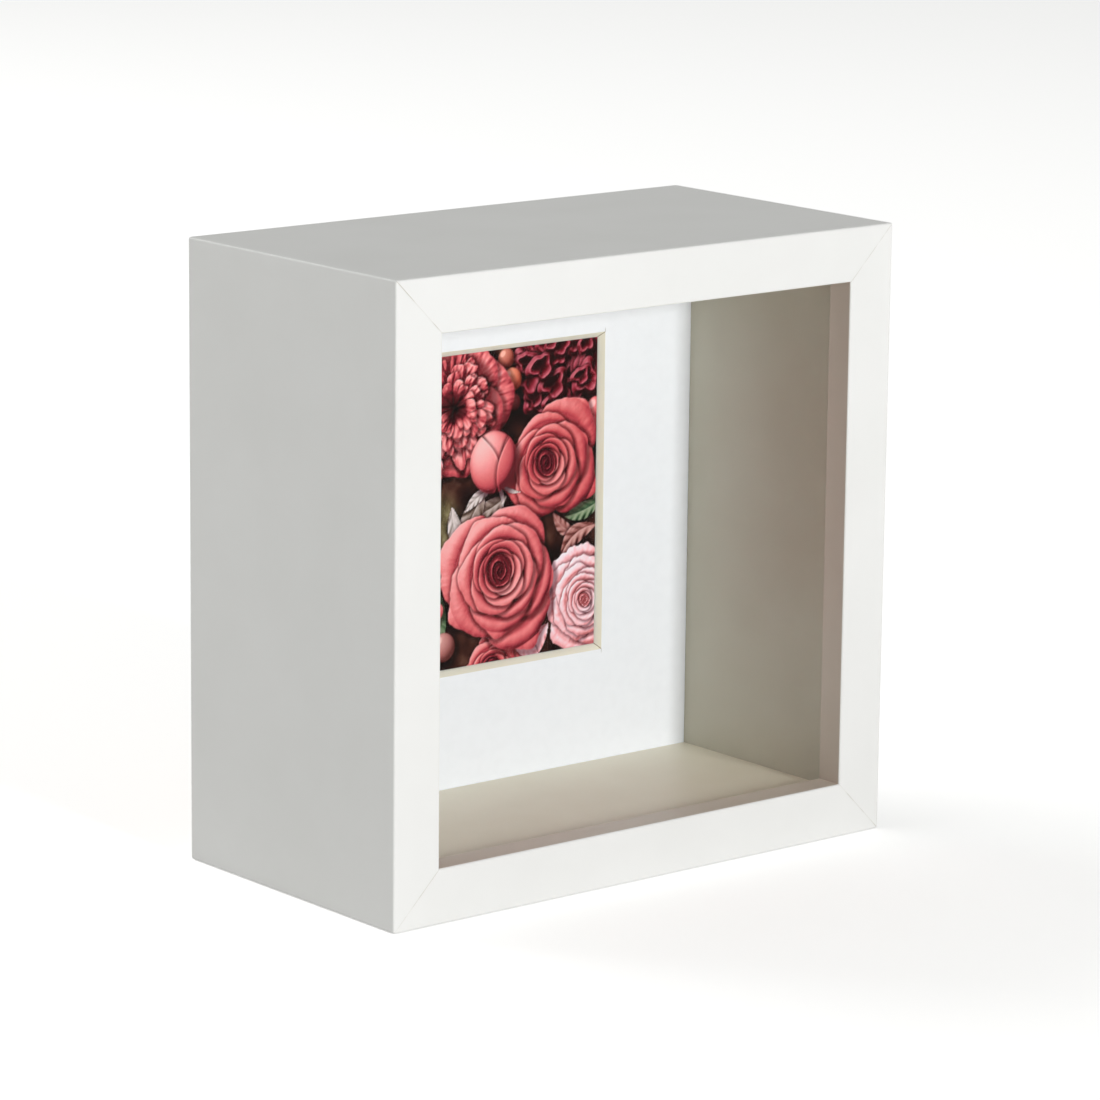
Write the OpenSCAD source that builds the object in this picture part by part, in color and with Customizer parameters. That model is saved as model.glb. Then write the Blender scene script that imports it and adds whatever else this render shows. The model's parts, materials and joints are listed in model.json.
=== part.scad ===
// Square shadow box: a deep mitred frame with glass, liners, a window mat over a print, and a
// push-fit back held by turn buttons. Millimetres, +Z up, front face towards -Y.
// The origin is at the middle of the whole object's base.

/* [Frame] */
// Outside width and height of the square frame
frame_size = 230; // [200:1:330]
// Depth of the moulding, from its front face to its rear edge
moulding_depth = 121.3; // [110:0.1:150]
// Width of the face lip that borders the glass
lip_width = 20.2; // [19:0.1:30]
// Thickness of the face lip
lip_thickness = 11.2; // [6:0.1:16]
// Thickness of the moulding's side wall
wall_thickness = 12; // [10:0.5:13]

/* [Glass and liners] */
// Thickness of the glass
glass_thickness = 2; // [1.5:0.5:3]
// Room between the rebate and the glass, boards and battens, on each side
pane_gap = 1.5; // [0.5:0.5:2]
// Thickness of the liner strips
liner_thickness = 5.1; // [3:0.1:8]
// Clear depth between the glass and the mat
display_depth = 79; // [60:1:79]

/* [Mat and print] */
// Thickness of the window mat
mat_thickness = 2.1; // [1.4:0.1:3]
// Width of the mat's window at its face
window_width = 111; // [60:1:125]
// Height of the mat's window at its face
window_height = 122.4; // [60:0.1:130]
// How far the window's middle sits above the frame's middle
window_rise = 6.5; // [0:0.5:15]
// How far the print runs under the mat on each side
print_margin = 15; // [5:1:20]
// Thickness of the print's heavy paper
print_thickness = 0.3; // [0.2:0.1:0.6]
// Thickness of the foam board behind the print
board_thickness = 3; // [2:0.5:5]

/* [Back] */
// Thickness of the back panel
panel_thickness = 3; // [2.5:0.5:4]
// Room between the back panel and the moulding on each side
panel_gap = 0.5; // [0.3:0.1:1]
// How far the panel sits below the moulding's rear edge
panel_recess = 0.3; // [0.2:0.1:1]
// Width of the battens behind the panel's edge
batten_width = 12; // [8:1:20]
// Radius of the pins that fix the battens
pin_radius = 0.6; // [0.5:0.1:1]

/* [Hardware] */
// Thickness of the turn buttons
button_thickness = 1; // [0.8:0.1:1.5]
// Half of a turn button's width
button_radius = 4; // [3.5:0.1:5]
// Distance from a turn button's screw to the middle of its round tip
button_reach = 16; // [12:1:20]
// Radius of the screws' shanks
screw_radius = 1.5; // [1.2:0.1:1.8]
// How deep the screws go into the moulding
screw_depth = 14; // [8:1:20]
// Height of the hanger rings' pivots above the base
hanger_height = 172; // [160:1:185]
// Radius of the hanger rings' wire
ring_wire = 0.8; // [0.6:0.1:1]
// Width of the hanger straps
strap_width = 5.6; // [5:0.1:5.8]
// Distance from a frame side's outside face to the middle of its hanger
hanger_inset = 6.7; // [6.5:0.1:7]
// Radius of the rubber bumpers
bumper_radius = 4.5; // [3:0.5:5.5]
// Height of the rubber bumpers, which sets the gap to the wall
bumper_height = 4; // [4:0.5:6]
// Distance from the frame's middle to the bumpers
bumper_spread = 88; // [60:1:95]

/* [Hidden] */
$fn = 64;
overall_depth = moulding_depth + bumper_height;
front_y = -overall_depth / 2;
rear_y = front_y + moulding_depth;
mid_z = frame_size / 2;
rebate_size = frame_size - 2 * wall_thickness;
pane_size = rebate_size - 2 * pane_gap;
wall_middle = wall_thickness / 2;

glass_y = front_y + lip_thickness;
liner_y = glass_y + glass_thickness;
mat_y = liner_y + display_depth;
print_y = mat_y + mat_thickness;
board_y = print_y + print_thickness;
batten_y = board_y + board_thickness;
panel_y = rear_y - panel_recess - panel_thickness;
batten_depth = panel_y - batten_y;
board_play = 0.1;

nail_leg = 4.2;
nail_gauge = 0.6;
nail_depth = 10;
nail_offsets = [3.6, 8];

button_play = 0.1;
button_y = rear_y + button_play;
button_head_y = button_y + button_thickness + button_play;
running_gap = 0.05;
head_radius = 2.9;
head_height = 1.6;

pin_inset = 60;
pin_length = 15;
pin_head_radius = 1.2;
pin_head_height = 0.6;

strap_thickness = 0.8;
strap_length = 9;
loop_wall = 0.8;
loop_radius = ring_wire + running_gap + loop_wall;
loop_y = rear_y + strap_thickness + ring_wire + 0.15;
ring_side_play = 0.2;
ring_width = strap_width + 2 * (ring_wire + ring_side_play);
ring_leg = 4.2;
hanger_screw_drop = 4.6;
hanger_head_radius = 2.3;
hanger_head_height = 1.2;

FROM_BOTTOM_TO_LEFT = 90;
FROM_BOTTOM_TO_TOP = 180;
FROM_BOTTOM_TO_RIGHT = -90;

// Turns what is drawn for the bottom of the frame round to another side
module on_side(turn) {
    translate([0, 0, mid_z])
        rotate([0, turn, 0])
            translate([0, 0, -mid_z])
                children();
}

// An outline drawn in X and Z, thickened along Y from a given depth
module plate_at(y, thickness) {
    translate([0, y + thickness, 0])
        rotate([90, 0, 0])
            linear_extrude(thickness)
                children();
}

// A rod along Y that starts at a given depth
module rod_at(x, y, z, radius, length) {
    translate([x, y, z])
        rotate([-90, 0, 0])
            cylinder(r = radius, h = length);
}

// A square board centred on the frame
module board_at(y, thickness, size) {
    translate([-size / 2, y, mid_z - size / 2])
        cube([size, thickness, size]);
}

// The moulding's section: X runs back from the face, Y runs inwards from the outside
module rail_section() {
    polygon([
        [0, 0],
        [moulding_depth, 0],
        [moulding_depth, wall_thickness],
        [lip_thickness, wall_thickness],
        [lip_thickness, lip_width],
        [0, lip_width]
    ]);
}

// The bottom length of moulding, with both ends cut at 45 degrees
module mitred_length() {
    intersection() {
        translate([-frame_size / 2, front_y, 0])
            rotate([90, 0, 90])
                linear_extrude(frame_size)
                    rail_section();
        plate_at(front_y - 1, moulding_depth + 2)
            polygon([[-frame_size / 2, 0], [frame_size / 2, 0], [0, frame_size / 2]]);
    }
}

// The hole for a turn button's screw, in the middle of the bottom length
module button_pilot() {
    rod_at(0, rear_y - screw_depth - 1, wall_middle, screw_radius + running_gap, screw_depth + 2);
}

// One length of moulding on a given side, slotted for the corner nails
module rail(turn) {
    color("#F2F2EE")
        difference() {
            on_side(turn)
                difference() {
                    mitred_length();
                    button_pilot();
                }
            nail_set();
            hanger_pilots();
        }
}

module top_rail() {
    rail(FROM_BOTTOM_TO_TOP);
}

module bottom_rail() {
    rail(0);
}

module left_rail() {
    rail(FROM_BOTTOM_TO_LEFT);
}

module right_rail() {
    rail(FROM_BOTTOM_TO_RIGHT);
}

// One V nail at the bottom left corner, with its point on the mitre
module v_nail(offset_in) {
    half_gauge = nail_gauge * sqrt(2);
    translate([offset_in - frame_size / 2, 0, offset_in])
        plate_at(rear_y - nail_depth, nail_depth)
            polygon([
                [0, 0],
                [nail_leg, 0],
                [nail_leg, nail_gauge],
                [half_gauge, nail_gauge],
                [half_gauge, half_gauge],
                [nail_gauge, half_gauge],
                [nail_gauge, nail_leg],
                [0, nail_leg]
            ]);
}

module nail_set() {
    for (turn = [0 : 90 : 270], offset_in = nail_offsets)
        on_side(turn)
            v_nail(offset_in);
}

module corner_v_nails() {
    color("#8F9294")
        nail_set();
}

module glass_pane() {
    color("#DDEBE6", 0.3)
        board_at(glass_y, glass_thickness, pane_size);
}

// A liner strip along the bottom of the rebate, cut to a given length
module liner_strip(length) {
    translate([-length / 2, liner_y, wall_thickness])
        cube([length, display_depth - board_play, liner_thickness]);
}

module bottom_liner() {
    color("#DAD6CB")
        liner_strip(rebate_size);
}

module top_liner() {
    color("#DAD6CB")
        on_side(FROM_BOTTOM_TO_TOP)
            liner_strip(rebate_size);
}

module left_liner() {
    color("#DAD6CB")
        on_side(FROM_BOTTOM_TO_LEFT)
            liner_strip(rebate_size - 2 * liner_thickness);
}

module right_liner() {
    color("#DAD6CB")
        on_side(FROM_BOTTOM_TO_RIGHT)
            liner_strip(rebate_size - 2 * liner_thickness);
}

// Half of the window's bevel: a wedge that narrows by 45 degrees through the mat
module bevel_outline(width) {
    polygon([
        [-width / 2 - 1, -1],
        [width / 2 + 1, -1],
        [width / 2 - mat_thickness - 1, mat_thickness + 1],
        [-width / 2 + mat_thickness + 1, mat_thickness + 1]
    ]);
}

// The space of the window, with all four of its sides bevelled
module window_space() {
    window_z = mid_z + window_rise;
    intersection() {
        translate([0, mat_y, window_z - window_height])
            linear_extrude(2 * window_height)
                bevel_outline(window_width);
        translate([window_width, mat_y, window_z])
            rotate([0, -90, 0])
                linear_extrude(2 * window_width)
                    bevel_outline(window_height);
    }
}

module window_mat() {
    color("#E6E9EC")
        difference() {
            board_at(mat_y, mat_thickness, pane_size);
            window_space();
        }
}

module art_print() {
    print_width = window_width + 2 * print_margin;
    print_height = window_height + 2 * print_margin;
    color("#B5776C")
        translate([-print_width / 2, print_y, mid_z + window_rise - print_height / 2])
            cube([print_width, print_thickness, print_height]);
}

module backing_board() {
    color("#EFEDE6")
        board_at(board_y, board_thickness, pane_size);
}

// A batten along the bottom of the panel, cut to a given length
module batten_strip(length) {
    translate([-length / 2, batten_y, wall_thickness + pane_gap])
        cube([length, batten_depth, batten_width]);
}

// A batten on a given side, drilled for its two pins
module batten(turn, length) {
    color("#CDB48A")
        difference() {
            on_side(turn)
                batten_strip(length);
            pin_holes();
        }
}

module top_batten() {
    batten(FROM_BOTTOM_TO_TOP, pane_size);
}

module bottom_batten() {
    batten(0, pane_size);
}

module left_batten() {
    batten(FROM_BOTTOM_TO_LEFT, pane_size - 2 * batten_width);
}

module right_batten() {
    batten(FROM_BOTTOM_TO_RIGHT, pane_size - 2 * batten_width);
}

// Repeats a pin's shape at the places of all the pins
module at_each_pin() {
    pin_z = wall_thickness + pane_gap + batten_width / 2;
    for (turn = [0 : 90 : 270], x = [-pin_inset, pin_inset])
        on_side(turn)
            translate([x, 0, pin_z])
                children();
}

module pin_holes() {
    at_each_pin() {
        rod_at(0, rear_y - panel_recess - pin_length, 0, pin_radius + running_gap, pin_length + 1);
        rod_at(0, rear_y - panel_recess - pin_head_height, 0,
            pin_head_radius + running_gap, pin_head_height + 1);
    }
}

module back_panel() {
    color("#9A7450")
        difference() {
            board_at(panel_y, panel_thickness, rebate_size - 2 * panel_gap);
            pin_holes();
        }
}

module batten_pins() {
    color("#A9ABAD")
        at_each_pin() {
            rod_at(0, rear_y - panel_recess - pin_length + 0.2, 0, pin_radius, pin_length - 0.4);
            rod_at(0, rear_y - panel_recess - pin_head_height, 0, pin_head_radius, pin_head_height);
        }
}

// A turn button on a given side, lying along the moulding in its open place
module turn_button(turn) {
    color("#B9BBBC")
        on_side(turn)
            translate([0, 0, wall_middle])
                plate_at(button_y, button_thickness)
                    difference() {
                        union() {
                            circle(r = button_radius);
                            translate([0, -button_radius])
                                square([button_reach, 2 * button_radius]);
                            translate([button_reach, 0])
                                circle(r = button_radius);
                        }
                        circle(r = screw_radius + running_gap);
                    }
}

module top_turn_button() {
    turn_button(FROM_BOTTOM_TO_TOP);
}

module bottom_turn_button() {
    turn_button(0);
}

module left_turn_button() {
    turn_button(FROM_BOTTOM_TO_LEFT);
}

module right_turn_button() {
    turn_button(FROM_BOTTOM_TO_RIGHT);
}

module turn_button_screws() {
    color("#C9CBCC")
        for (turn = [0 : 90 : 270])
            on_side(turn) {
                rod_at(0, rear_y - screw_depth, wall_middle, screw_radius,
                    button_head_y - rear_y + screw_depth + head_height / 2);
                rod_at(0, button_head_y, wall_middle, head_radius, head_height);
            }
}

// Repeats a hanger's shape at both sides of the frame
module at_hanger(side) {
    translate([side * (frame_size / 2 - hanger_inset), 0, hanger_height])
        children();
}

module hanger_pilots() {
    for (side = [-1, 1])
        at_hanger(side)
            rod_at(0, rear_y - screw_depth - 1, -hanger_screw_drop,
                screw_radius + running_gap, screw_depth + 2);
}

// A strap bent round the ring's straight bar and screwed down below it
module hanger_strap(side) {
    color("#B9BBBC")
        at_hanger(side)
            difference() {
                union() {
                    translate([-strap_width / 2, rear_y, -strap_length])
                        cube([strap_width, strap_thickness, strap_length]);
                    rod_at(0, rear_y, -strap_length, strap_width / 2, strap_thickness);
                    translate([-strap_width / 2, loop_y, 0])
                        rotate([0, 90, 0])
                            cylinder(r = loop_radius, h = strap_width);
                }
                translate([-strap_width / 2 - 1, loop_y, 0])
                    rotate([0, 90, 0])
                        cylinder(r = ring_wire + running_gap, h = strap_width + 2);
                rod_at(0, rear_y - 1, -hanger_screw_drop, screw_radius + running_gap,
                    strap_thickness + 2);
            }
}

module left_hanger_strap() {
    hanger_strap(-1);
}

module right_hanger_strap() {
    hanger_strap(1);
}

module hanger_screws() {
    color("#C9CBCC")
        for (side = [-1, 1])
            at_hanger(side) {
                rod_at(0, rear_y - screw_depth, -hanger_screw_drop, screw_radius,
                    screw_depth + strap_thickness + hanger_head_height / 2);
                rod_at(0, rear_y + strap_thickness, -hanger_screw_drop,
                    hanger_head_radius, hanger_head_height);
            }
}

// A D-shaped wire ring that hangs from the strap's loop
module hanger_ring(side) {
    color("#C4C6C7")
        at_hanger(side)
            translate([0, loop_y, 0]) {
                translate([-ring_width / 2, 0, 0])
                    rotate([0, 90, 0])
                        cylinder(r = ring_wire, h = ring_width);
                for (x = [-ring_width / 2, ring_width / 2]) {
                    translate([x, 0, 0])
                        sphere(r = ring_wire);
                    translate([x, 0, -ring_leg])
                        cylinder(r = ring_wire, h = ring_leg);
                }
                translate([0, 0, -ring_leg])
                    rotate([-90, 0, 0])
                        rotate_extrude(angle = 180)
                            translate([ring_width / 2, 0])
                                circle(r = ring_wire);
            }
}

module left_hanger_ring() {
    hanger_ring(-1);
}

module right_hanger_ring() {
    hanger_ring(1);
}

module wall_bumpers() {
    color("#E4E6E4")
        for (x = [-bumper_spread, bumper_spread], z = [wall_middle, frame_size - wall_middle])
            rod_at(x, rear_y, z, bumper_radius, bumper_height);
}

top_rail();
bottom_rail();
left_rail();
right_rail();
corner_v_nails();
glass_pane();
top_liner();
bottom_liner();
left_liner();
right_liner();
window_mat();
art_print();
backing_board();
top_batten();
bottom_batten();
left_batten();
right_batten();
back_panel();
batten_pins();
top_turn_button();
bottom_turn_button();
left_turn_button();
right_turn_button();
turn_button_screws();
left_hanger_strap();
right_hanger_strap();
hanger_screws();
left_hanger_ring();
right_hanger_ring();
wall_bumpers();
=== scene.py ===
"""A square shadow box: deep white mitred frame, glass, liners, bevelled mat, flower print, push-fit back.

The pieces are made in the order in which the box is put together, from the moulding in the front to the
hardware on its rear edge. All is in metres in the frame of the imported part: +Z up, front face towards -Y.
"""

import json
from math import cos, pi, radians, sin, sqrt

import bmesh
import bpy
import numpy as np
from mathutils import Matrix, Vector


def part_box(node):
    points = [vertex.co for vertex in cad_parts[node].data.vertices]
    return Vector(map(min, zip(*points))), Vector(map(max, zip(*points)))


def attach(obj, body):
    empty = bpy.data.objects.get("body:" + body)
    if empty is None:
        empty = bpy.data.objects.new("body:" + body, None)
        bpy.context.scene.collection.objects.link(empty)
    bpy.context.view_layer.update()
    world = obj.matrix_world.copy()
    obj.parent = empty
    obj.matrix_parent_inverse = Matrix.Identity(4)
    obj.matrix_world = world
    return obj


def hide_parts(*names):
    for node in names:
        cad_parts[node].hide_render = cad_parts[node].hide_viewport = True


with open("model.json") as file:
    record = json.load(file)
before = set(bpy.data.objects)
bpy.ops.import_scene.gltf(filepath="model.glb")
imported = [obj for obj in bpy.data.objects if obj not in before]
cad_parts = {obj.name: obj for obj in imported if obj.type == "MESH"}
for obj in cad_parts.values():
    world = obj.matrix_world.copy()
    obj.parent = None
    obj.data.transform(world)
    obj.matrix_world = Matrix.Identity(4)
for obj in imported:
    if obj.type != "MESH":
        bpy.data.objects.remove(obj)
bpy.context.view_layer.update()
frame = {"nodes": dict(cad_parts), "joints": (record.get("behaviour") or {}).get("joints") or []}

# ----------------------------------------------------------
# Camera, floor and light
# The box stands on a pale seamless floor in a white studio. A lamp well in front lights the face and the
# inside, and two broad soft ones fill the left side, the top and the back.
# ----------------------------------------------------------
MM = 0.001
CAMERA_AZIMUTH = radians(-39.506)
CAMERA_ELEVATION = radians(12.231)
CAMERA_ROLL = radians(0.614)
CAMERA_AIM = Vector((10.6, 6.4, 108.6)) * MM
CAMERA_DISTANCE = 1.8278
CAMERA_LENS = 161.93
SENSOR_WIDTH = 36.0
FLOOR_HALF = 7.0
FLOOR_Z = -0.2 * MM


def rgb(hex_colour):
    """An sRGB hex colour as three numbers from 0 to 1."""
    return np.array([int(hex_colour[i:i + 2], 16) for i in (1, 3, 5)]) / 255


def to_linear(values):
    """The sRGB transfer curve: v / 12.92 in the darkest part, and ((v + 0.055) / 1.055)^2.4 above it."""
    return np.where(values <= 0.04045, values / 12.92, ((values + 0.055) / 1.055) ** 2.4)


def linear(hex_colour):
    """An sRGB hex colour as linear red, green, blue and an alpha of 1."""
    return (*to_linear(rgb(hex_colour)).tolist(), 1.0)


def add_node(tree, kind, inputs, **settings):
    """Adds a node, sets its properties, and sets each named or numbered input, or links it to an output."""
    made = tree.nodes.new(kind)
    for name, value in settings.items():
        setattr(made, name, value)
    for name, value in inputs.items():
        if isinstance(value, bpy.types.NodeSocket):
            tree.links.new(value, made.inputs[name])
        else:
            made.inputs[name].default_value = value
    return made


def new_material(name):
    """An empty material, its node tree and its Object coordinates."""
    made = bpy.data.materials.new(name)
    made.use_nodes = True
    tree = made.node_tree
    tree.nodes.clear()
    return made, tree, add_node(tree, "ShaderNodeTexCoord", {}).outputs["Object"]


def mix_shaders(tree, share, first, second):
    """Makes the material's surface: first where share is 0, second where it is 1."""
    mix = add_node(tree, "ShaderNodeMixShader", {0: share, 1: first, 2: second})
    add_node(tree, "ShaderNodeOutputMaterial", {"Surface": mix.outputs[0]})


def aim(position, target, roll=0.0):
    """The matrix of an object at position whose -Z looks at target, turned by roll about its own axis."""
    back = (Vector(position) - Vector(target)).normalized()
    right = Vector((0, 0, 1)).cross(back).normalized()
    up = back.cross(right)
    turned_right = cos(roll) * right + sin(roll) * up
    turned_up = cos(roll) * up - sin(roll) * right
    columns = Matrix((turned_right, turned_up, back)).transposed().to_4x4()
    return Matrix.Translation(Vector(position)) @ columns


def lamp(name, position, size, watts):
    """A square white area lamp at position that faces the middle of the box."""
    data = bpy.data.lights.new(name, "AREA")
    data.shape = "SQUARE"
    data.size = size
    data.energy = watts
    made = bpy.data.objects.new(name, data)
    made.matrix_world = aim(position, BOX_MIDDLE)
    bpy.context.scene.collection.objects.link(made)


camera_back = Vector((
    sin(CAMERA_AZIMUTH) * cos(CAMERA_ELEVATION),
    -cos(CAMERA_AZIMUTH) * cos(CAMERA_ELEVATION),
    sin(CAMERA_ELEVATION),
))
camera = bpy.data.objects.new("camera", bpy.data.cameras.new("camera"))
camera.data.lens = CAMERA_LENS
camera.data.sensor_width = SENSOR_WIDTH
camera.data.clip_end = 50
camera.matrix_world = aim(CAMERA_AIM + camera_back * CAMERA_DISTANCE, CAMERA_AIM, CAMERA_ROLL)
bpy.context.scene.collection.objects.link(camera)
bpy.context.scene.camera = camera
bpy.context.scene.view_settings.view_transform = "Standard"

BOX_MIDDLE = (0, 0, 0.115)
FRONT_WATTS = 133
LEFT_WATTS = 10
BACK_WATTS = 38
SKY_STRENGTH = 0.27
lamp("front_lamp", (0.0, -4.4, 0.97), 0.7, FRONT_WATTS)
lamp("left_lamp", (-2.6, 1.3, 0.7), 1.8, LEFT_WATTS)
lamp("back_lamp", (-0.9, 2.4, 2.2), 1.8, BACK_WATTS)

world = bpy.data.worlds.new("studio")
world.use_nodes = True
bpy.context.scene.world = world
world_tree = world.node_tree
world_tree.nodes.clear()
seen = add_node(world_tree, "ShaderNodeBackground", {"Color": (1, 1, 1, 1), "Strength": 1.0})
heading = add_node(world_tree, "ShaderNodeTexCoord", {})
heading_parts = add_node(world_tree, "ShaderNodeSeparateXYZ", {0: heading.outputs["Generated"]})
# The room is dim in front of the box and bright behind it, so the inside is lit by the front lamp
fill_strength = add_node(world_tree, "ShaderNodeMapRange", {
    "Value": heading_parts.outputs["Y"], "From Min": -1.0, "From Max": 1.0,
    "To Min": 0.3 * SKY_STRENGTH, "To Max": 1.7 * SKY_STRENGTH,
})
fill = add_node(world_tree, "ShaderNodeBackground", {
    "Color": linear("#FCFDFA"), "Strength": fill_strength.outputs[0],
})
world_rays = add_node(world_tree, "ShaderNodeLightPath", {})
world_mix = add_node(world_tree, "ShaderNodeMixShader", {
    0: world_rays.outputs["Is Camera Ray"], 1: fill.outputs[0], 2: seen.outputs[0],
})
add_node(world_tree, "ShaderNodeOutputWorld", {"Surface": world_mix.outputs[0]})


def floor_paper():
    """Matt white background paper, lifted a little for the eye so that it meets the white backdrop."""
    made, tree, _ = new_material("floor_paper")
    paper = add_node(tree, "ShaderNodeBsdfDiffuse", {"Color": linear("#F7F7F6")}).outputs[0]
    glow = add_node(tree, "ShaderNodeEmission", {"Color": (1, 1, 1, 1), "Strength": 0.5}).outputs[0]
    lifted = add_node(tree, "ShaderNodeAddShader", {0: paper, 1: glow}).outputs[0]
    rays = add_node(tree, "ShaderNodeLightPath", {})
    mix_shaders(tree, rays.outputs["Is Camera Ray"], paper, lifted)
    return made


floor_mesh = bpy.data.meshes.new("floor")
floor_mesh.from_pydata(
    [(x * FLOOR_HALF, y * FLOOR_HALF, FLOOR_Z) for x, y in ((-1, -1), (1, -1), (1, 1), (-1, 1))],
    [], [(0, 1, 2, 3)],
)
floor_mesh.materials.append(floor_paper())
floor = bpy.data.objects.new("floor", floor_mesh)
bpy.context.scene.collection.objects.link(floor)

# ----------------------------------------------------------
# Moulding: four lengths of L-section poplar, mitred, glued and sprayed with satin white enamel.
# The arrises are eased by sanding, and at each mitre the paint draws in to a hairline that shows the filler.
# ----------------------------------------------------------
RAIL_LOW, RAIL_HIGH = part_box("bottom_rail")
SIZE = RAIL_HIGH.x - RAIL_LOW.x
FRONT = RAIL_LOW.y
REAR = RAIL_HIGH.y
MIDDLE_Z = SIZE / 2
LIP_WIDTH = RAIL_HIGH.z
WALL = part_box("bottom_liner")[0].z
LIP_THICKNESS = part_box("glass_pane")[0].y - FRONT
ARRIS = 0.7 * MM
CORNER_ROUND = 0.9 * MM
CORNER_RADII = (ARRIS, 0.5 * MM, 0.4 * MM, 0.1 * MM, 0.3 * MM, ARRIS)
HAIRLINE_GAP = 0.01 * MM
HAIRLINE_DEPTH = 0.05 * MM
HAIRLINE_HALF = 0.25 * MM
TURNS = {"bottom": 0.0, "left": pi / 2, "top": pi, "right": -pi / 2}
# How strongly the filler shows at each corner of the face
HAIRLINES = {"top_left": 1.0, "bottom_left": 0.8, "bottom_right": 0.7, "top_right": 0.55}
RAIL_CORNERS = {
    "bottom": ("bottom_left", "bottom_right"),
    "left": ("top_left", "bottom_left"),
    "top": ("top_right", "top_left"),
    "right": ("bottom_right", "top_right"),
}


def turned(points, turn):
    """Turns points of the bottom of the frame about the box's middle, by an angle about Y."""
    x, y, z = np.moveaxis(np.asarray(points, float), -1, 0)
    up = z - MIDDLE_Z
    return np.stack([x * cos(turn) + up * sin(turn), y, up * cos(turn) - x * sin(turn) + MIDDLE_Z], axis=-1)


def rounded_outline(corners, radii, steps=5, hold=0.3 * MM):
    """Rounds the square corners of a closed outline. A corner P, with unit directions a and b to its
    neighbours, becomes the arc C - r(b cos t + a sin t) about C = P + r(a + b), for t from 0 to 90 degrees.
    A point on each side of the arc holds the flats flat."""
    corners = np.asarray(corners, float)
    reach = np.broadcast_to(np.asarray(radii, float), len(corners))[:, None, None]
    before = np.roll(corners, 1, axis=0) - corners
    after = np.roll(corners, -1, axis=0) - corners
    a = (before / np.linalg.norm(before, axis=1, keepdims=True))[:, None]
    b = (after / np.linalg.norm(after, axis=1, keepdims=True))[:, None]
    turn = np.linspace(0, pi / 2, steps)[None, :, None]
    corner = corners[:, None]
    arcs = corner + reach * (a + b) - reach * (b * np.cos(turn) + a * np.sin(turn))
    rows = [corner + a * (reach + hold), arcs, corner + b * (reach + hold)]
    return np.concatenate(rows, axis=1).reshape(-1, 2)


def skin(rings, looped=False):
    """Vertices and faces of a closed section carried along a path: rings is (stations, section points, 3).
    Neighbouring rings are joined by quads. A path with two ends is closed by a flat face at each of them,
    and a looped path joins its last ring to its first."""
    stations, around = rings.shape[:2]
    along = np.arange(stations if looped else stations - 1)[:, None]
    here = np.arange(around)[None, :]
    beside = (here + 1) % around
    far = (along + 1) % stations
    quads = np.stack(np.broadcast_arrays(
        along * around + here, along * around + beside, far * around + beside, far * around + here,
    ), axis=-1).reshape(-1, 4).tolist()
    if not looped:
        quads += [list(range(around))[::-1], list(range((stations - 1) * around, stations * around))]
    return rings.reshape(-1, 3), quads


def make_piece(name, shell, body, materials, replaced, smooth_angle=38.0, values=None):
    """A mesh object from a shell (vertices, faces), with outward faces, smooth across edges flatter than
    smooth_angle. It rides on a body, takes a material slot of the record and stands for CAD nodes. values
    are numbers at its vertices."""
    vertices, faces = shell
    mesh = bpy.data.meshes.new(name)
    mesh.from_pydata(vertices.tolist(), [], faces)
    build = bmesh.new()
    build.from_mesh(mesh)
    bmesh.ops.recalc_face_normals(build, faces=build.faces)
    build.to_mesh(mesh)
    build.free()
    for key, numbers in (values or {}).items():
        attribute = mesh.attributes.new(key, "FLOAT", "POINT")
        attribute.data.foreach_set("value", np.asarray(numbers, np.float32).ravel())
    mesh.shade_smooth()
    mesh.set_sharp_from_angle(angle=radians(smooth_angle))
    for material in materials:
        mesh.materials.append(material)
    made = bpy.data.objects.new(name, mesh)
    bpy.context.scene.collection.objects.link(made)
    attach(made, body)
    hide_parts(*replaced)
    return made


def patches(tree, place, scale, detail, **more):
    """Smooth noise about 0.5 at place, with scale patches to the metre and detail finer octaves."""
    settings = {"Vector": place, "Scale": scale, "Detail": detail, **more}
    return add_node(tree, "ShaderNodeTexNoise", settings).outputs["Fac"]


def stretched(tree, place, scale):
    """place with each of its three parts multiplied by that of scale."""
    return add_node(tree, "ShaderNodeMapping", {"Vector": place, "Scale": scale}).outputs[0]


def carry(tree, value, low, high, to_low=0.0, to_high=1.0):
    """Carries the range from low to high on to the one from to_low to to_high, and goes no further."""
    return add_node(tree, "ShaderNodeMapRange", {
        "Value": value, "From Min": low, "From Max": high, "To Min": to_low, "To Max": to_high,
    }).outputs[0]


def maths(tree, operation, *values):
    """One operation on numbers, such as MULTIPLY."""
    return add_node(tree, "ShaderNodeMath", dict(enumerate(values)), operation=operation).outputs[0]


def blend(tree, share, first, second):
    """The colour first where share is 0 and second, a hex colour, where it is 1."""
    start = linear(first) if isinstance(first, str) else first
    inputs = {"Factor": share, 6: start, 7: linear(second)}
    return add_node(tree, "ShaderNodeMix", inputs, data_type="RGBA").outputs[2]


def attribute(tree, name):
    """A piece's own values, stored under a name at its vertices."""
    return add_node(tree, "ShaderNodeAttribute", {}, attribute_name=name).outputs


def surface(tree, inputs, height=None, strength=0.0, distance=0.0):
    """Makes the material's surface: a Principled shader, on a height field whose bumps are distance high."""
    if height is not None:
        bumps = {"Height": height, "Strength": strength, "Distance": distance}
        inputs["Normal"] = add_node(tree, "ShaderNodeBump", bumps).outputs[0]
    shader = add_node(tree, "ShaderNodeBsdfPrincipled", inputs)
    add_node(tree, "ShaderNodeOutputMaterial", {"Surface": shader.outputs[0]})


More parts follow.
